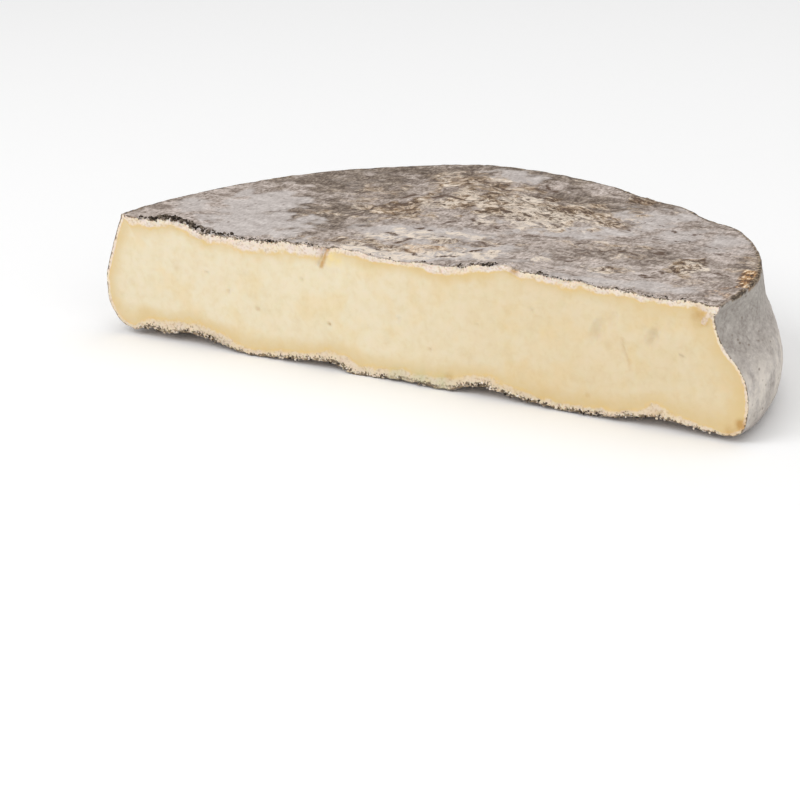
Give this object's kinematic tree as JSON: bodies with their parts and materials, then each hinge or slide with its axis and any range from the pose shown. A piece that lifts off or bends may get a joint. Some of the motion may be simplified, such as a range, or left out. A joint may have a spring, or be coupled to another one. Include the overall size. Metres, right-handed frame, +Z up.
{
  "type": "half wheel of saint-nectaire cheese",
  "caption": "Half of a low round saint-nectaire cheese lying flat, cut face forward: grey mould-dusted rind, bulging side, soft pale yellow paste.",
  "frame": {"origin": "on the surface it lies on, under the middle of the half's box", "axes": "+X along the cut face towards the end that leans out, +Y from the cut face into the half, +Z up"},
  "size_m": [0.2171, 0.1116, 0.0412],
  "materials": {
    "cheese": "matte grey-beige rind, satin pale yellow paste on the cut"
  },
  "bodies": {
    "root": {"cheese_half": "cheese"}
  },
  "joints": []
}
